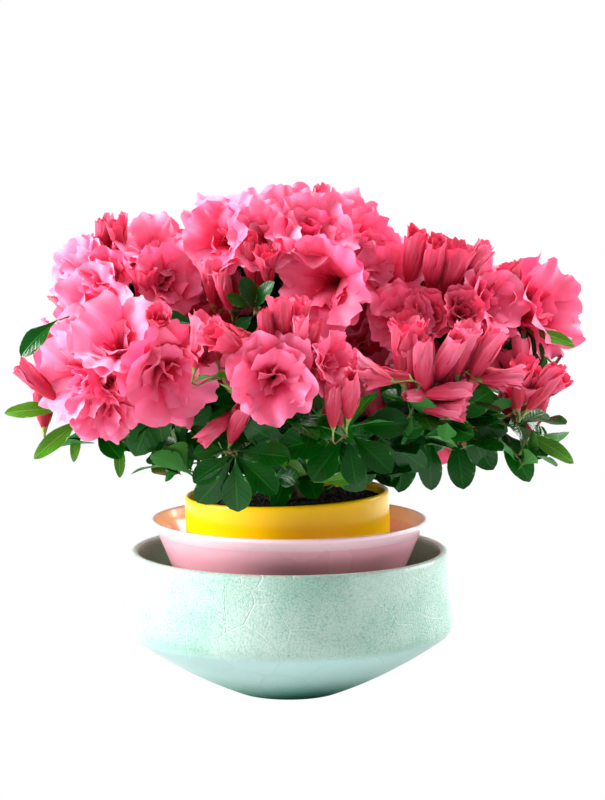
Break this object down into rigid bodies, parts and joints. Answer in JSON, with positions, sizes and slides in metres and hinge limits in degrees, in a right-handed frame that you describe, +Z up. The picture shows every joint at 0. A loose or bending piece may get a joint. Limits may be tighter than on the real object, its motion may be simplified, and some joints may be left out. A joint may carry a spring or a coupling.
{
  "type": "potted azalea shrub",
  "caption": "Potted azalea with double pink blossom over dark glossy leaves, in a yellow pot nested in a pink bowl inside a wide mint ceramic bowl.",
  "frame": {"origin": "centre of the flat underside of the outer bowl, which stands on the floor", "axes": "+Z up, the front of the plant faces -Y, +X to the right seen from the front"},
  "size_m": [0.3444, 0.3242, 0.3223],
  "materials": {
    "outer_bowl": "satin",
    "inner_bowl": "gloss",
    "grow_pot": "gloss",
    "soil": "matte",
    "bark": "matte",
    "blossom": "matte",
    "leaves": "satin"
  },
  "bodies": {
    "root": {"outer_bowl": "outer_bowl", "inner_bowl": "inner_bowl", "grow_pot": "grow_pot", "soil": "soil", "trunk": "bark", "bough_front": "bark", "bough_front_left": "bark", "bough_front_right": "bark", "bough_back_right": "bark", "bough_back": "bark", "bough_back_left": "bark", "bough_leader": "bark", "blossom_crown_top": "blossom", "blossom_crown_back": "blossom", "blossom_tip_right": "blossom", "blossom_shoulder_left": "blossom", "blossom_shoulder_right": "blossom", "blossom_front": "blossom", "blossom_lower_left": "blossom", "blossom_lower_right": "blossom", "blossom_back_left": "blossom", "blossom_back_right": "blossom", "blossom_back": "blossom", "leaves_heart": "leaves", "leaves_skirt_front": "leaves", "leaves_skirt_back": "leaves", "leaves_skirt_left": "leaves", "leaves_skirt_right": "leaves"}
  },
  "joints": []
}
